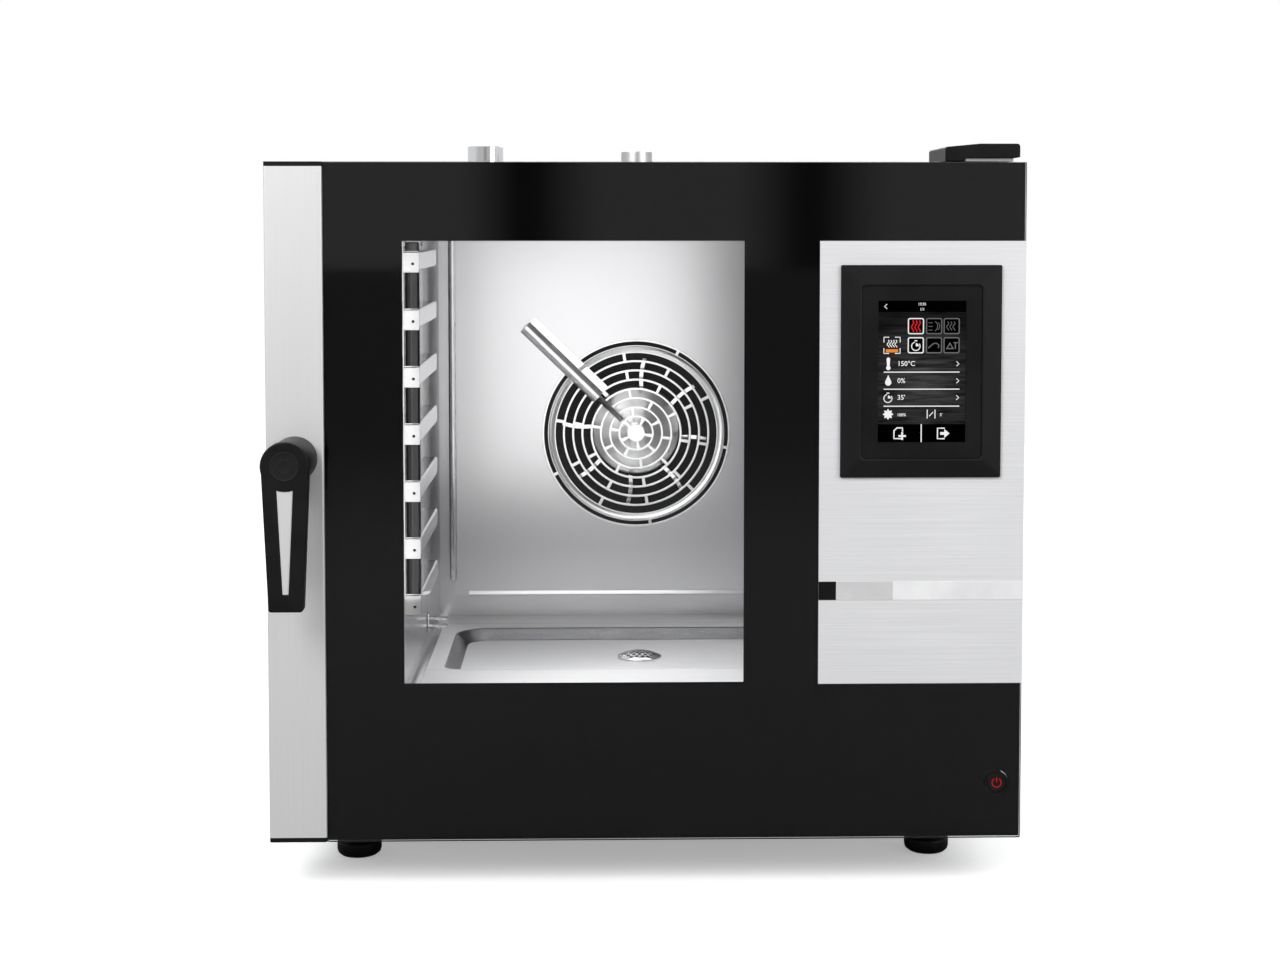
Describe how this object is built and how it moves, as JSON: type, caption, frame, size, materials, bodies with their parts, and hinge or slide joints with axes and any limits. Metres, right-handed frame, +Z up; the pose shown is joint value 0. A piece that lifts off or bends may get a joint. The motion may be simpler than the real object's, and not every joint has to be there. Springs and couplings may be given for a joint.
{
  "type": "combi steamer oven",
  "caption": "Countertop combi steamer with a full-width glass door, touch controls in the door, hot-air fan, steam tube, tray racks and drained chamber.",
  "frame": {"origin": "centre of the footprint on the surface that the feet stand on", "axes": "+X to the right of a person facing the door, +Y from the door towards the back, +Z up"},
  "size_m": [0.82, 0.922, 0.832],
  "materials": {
    "galvanised": "satin",
    "brushed_panel": "satin",
    "brushed_fascia": "satin",
    "column_silver": "satin",
    "chamber_steel": "polished",
    "polished_pipe": "polished",
    "satin_pipe": "satin",
    "wool": "matte",
    "silicone": "matte",
    "motor_casting": "satin",
    "element_tube": "satin",
    "valve_brass": "satin",
    "black_plastic": "matte",
    "black_print": "gloss",
    "clear_glass": "polished",
    "board_green": "satin",
    "lamp": "satin"
  },
  "bodies": {
    "root": {"base_frame": "galvanised", "side_panel_left": "brushed_panel", "side_panel_right": "brushed_panel", "top_panel": "brushed_panel", "rear_panel": "galvanised", "front_frame": "chamber_steel", "chamber_liner": "chamber_steel", "insulation_blanket": "wool", "door_gasket": "silicone", "fan_baffle": "chamber_steel", "fan_guard": "chamber_steel", "fan_motor": "motor_casting", "heating_element": "element_tube", "injection_channel": "chamber_steel", "injection_tube": "chamber_steel", "inlet_valve": "valve_brass", "rack_stud_left": "chamber_steel", "rack_stud_right": "chamber_steel", "drain_pipe": "galvanised", "vent_pipe": "polished_pipe", "damper_motor": "black_plastic", "relief_pipe": "satin_pipe", "hinge_bracket_upper": "galvanised", "hinge_bracket_lower": "galvanised", "hinge_cover": "black_plastic", "foot_front_left": "black_plastic", "foot_front_right": "black_plastic", "foot_rear_left": "black_plastic", "foot_rear_right": "black_plastic", "cable_gland": "black_plastic", "latch_keeper": "chamber_steel", "power_board": "board_green"},
    "fan": {"fan_wheel": "galvanised", "motor_shaft": "chamber_steel"},
    "damper": {"vent_damper": "chamber_steel"},
    "rack_left": {"rack_left": "chamber_steel"},
    "rack_right": {"rack_right": "chamber_steel"},
    "strainer": {"drain_strainer": "chamber_steel"},
    "door": {"door_glass": "clear_glass", "door_print_mask": "black_print", "door_shell": "chamber_steel", "window_surround": "black_plastic", "door_inner_glass": "clear_glass", "door_lamp": "lamp", "door_column": "column_silver", "column_cap_upper": "black_plastic", "column_cap_lower": "black_plastic", "control_fascia": "brushed_fascia", "display_bezel": "black_plastic", "display_screen": "black_print", "display_board": "board_green", "hinge_bush_upper": "valve_brass", "hinge_bush_lower": "valve_brass", "power_switch": "black_plastic", "handle_post": "black_plastic"},
    "handle": {"handle_lever": "black_plastic", "handle_inlay": "column_silver", "handle_shaft": "chamber_steel", "latch_cam": "chamber_steel"},
    "power_button": {"power_button": "black_plastic"}
  },
  "joints": [
    {"name": "door_hinge", "type": "hinge", "parent": "root", "child": "door", "pos_m": [0.385, -0.354, 0.4245], "axis": [0, 0, 1], "range_deg": [0, 120]},
    {"name": "handle_turn", "type": "hinge", "parent": "door", "child": "handle", "pos_m": [-0.3785, -0.389, 0.475], "axis": [0, 1, 0], "range_deg": [-90, 90]},
    {"name": "power_button_press", "type": "slide", "parent": "door", "child": "power_button", "axis": [0, 1, 0], "range_m": [0, 0.0015], "stiffness_N_per_m": 400},
    {"name": "fan_spin", "type": "hinge", "parent": "root", "child": "fan", "pos_m": [0, 0.261, 0.438], "axis": [0, 1, 0], "continuous": true},
    {"name": "damper_turn", "type": "hinge", "parent": "root", "child": "damper", "pos_m": [-0.205, 0.161, 0.778], "axis": [1, 0, 0], "range_deg": [0, 90]},
    {"name": "rack_left_lift", "type": "slide", "parent": "root", "child": "rack_left", "axis": [0, 0, 1], "range_m": [0, 0.008]},
    {"name": "rack_right_lift", "type": "slide", "parent": "root", "child": "rack_right", "axis": [0, 0, 1], "range_m": [0, 0.008]},
    {"name": "strainer_lift", "type": "slide", "parent": "root", "child": "strainer", "axis": [0, 0, 1], "range_m": [0, 0.03]}
  ]
}
